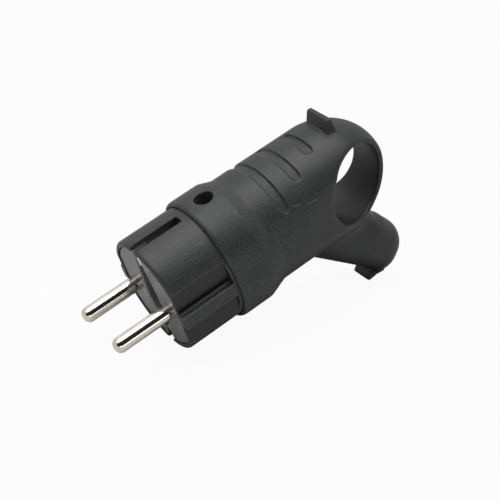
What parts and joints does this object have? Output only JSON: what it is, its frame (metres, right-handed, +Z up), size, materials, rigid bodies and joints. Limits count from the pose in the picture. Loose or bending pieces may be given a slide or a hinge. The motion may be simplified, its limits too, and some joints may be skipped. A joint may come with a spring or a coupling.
{
  "type": "angled rubber plug",
  "caption": "Angled rubber mains plug with a round nose, contact pins, side earth clips, finger grooves, a pull ring and a cable outlet turned down behind it.",
  "frame": {"origin": "centre of the footprint, on the surface that the plug lies on", "axes": "+X from the pins to the cable outlet, along the ground; +Y across the pins; +Z up"},
  "size_m": [0.1106, 0.0402, 0.063],
  "materials": {
    "rubber": "matte, finely speckled moulding texture",
    "nose": "matte, fine texture",
    "face": "smooth satin",
    "nickel": "bright nickel plate",
    "brass": "plain turned",
    "steel": "zinc plated",
    "clamp": "matte"
  },
  "bodies": {
    "root": {"housing": "rubber", "nose_shell": "nose", "contact_carrier": "face", "line_pin": "nickel", "neutral_pin": "nickel", "earth_clip": "nickel", "earth_socket": "brass", "line_clamp_plate": "steel", "neutral_clamp_plate": "steel", "earth_clamp_plate": "steel", "line_terminal_screw": "steel", "neutral_terminal_screw": "steel", "earth_terminal_screw": "steel", "carrier_screw_left": "steel", "carrier_screw_right": "steel", "cord_clamp": "clamp", "clamp_screw_left": "steel", "clamp_screw_right": "steel", "housing_screw": "steel", "housing_nut": "steel"}
  },
  "joints": []
}
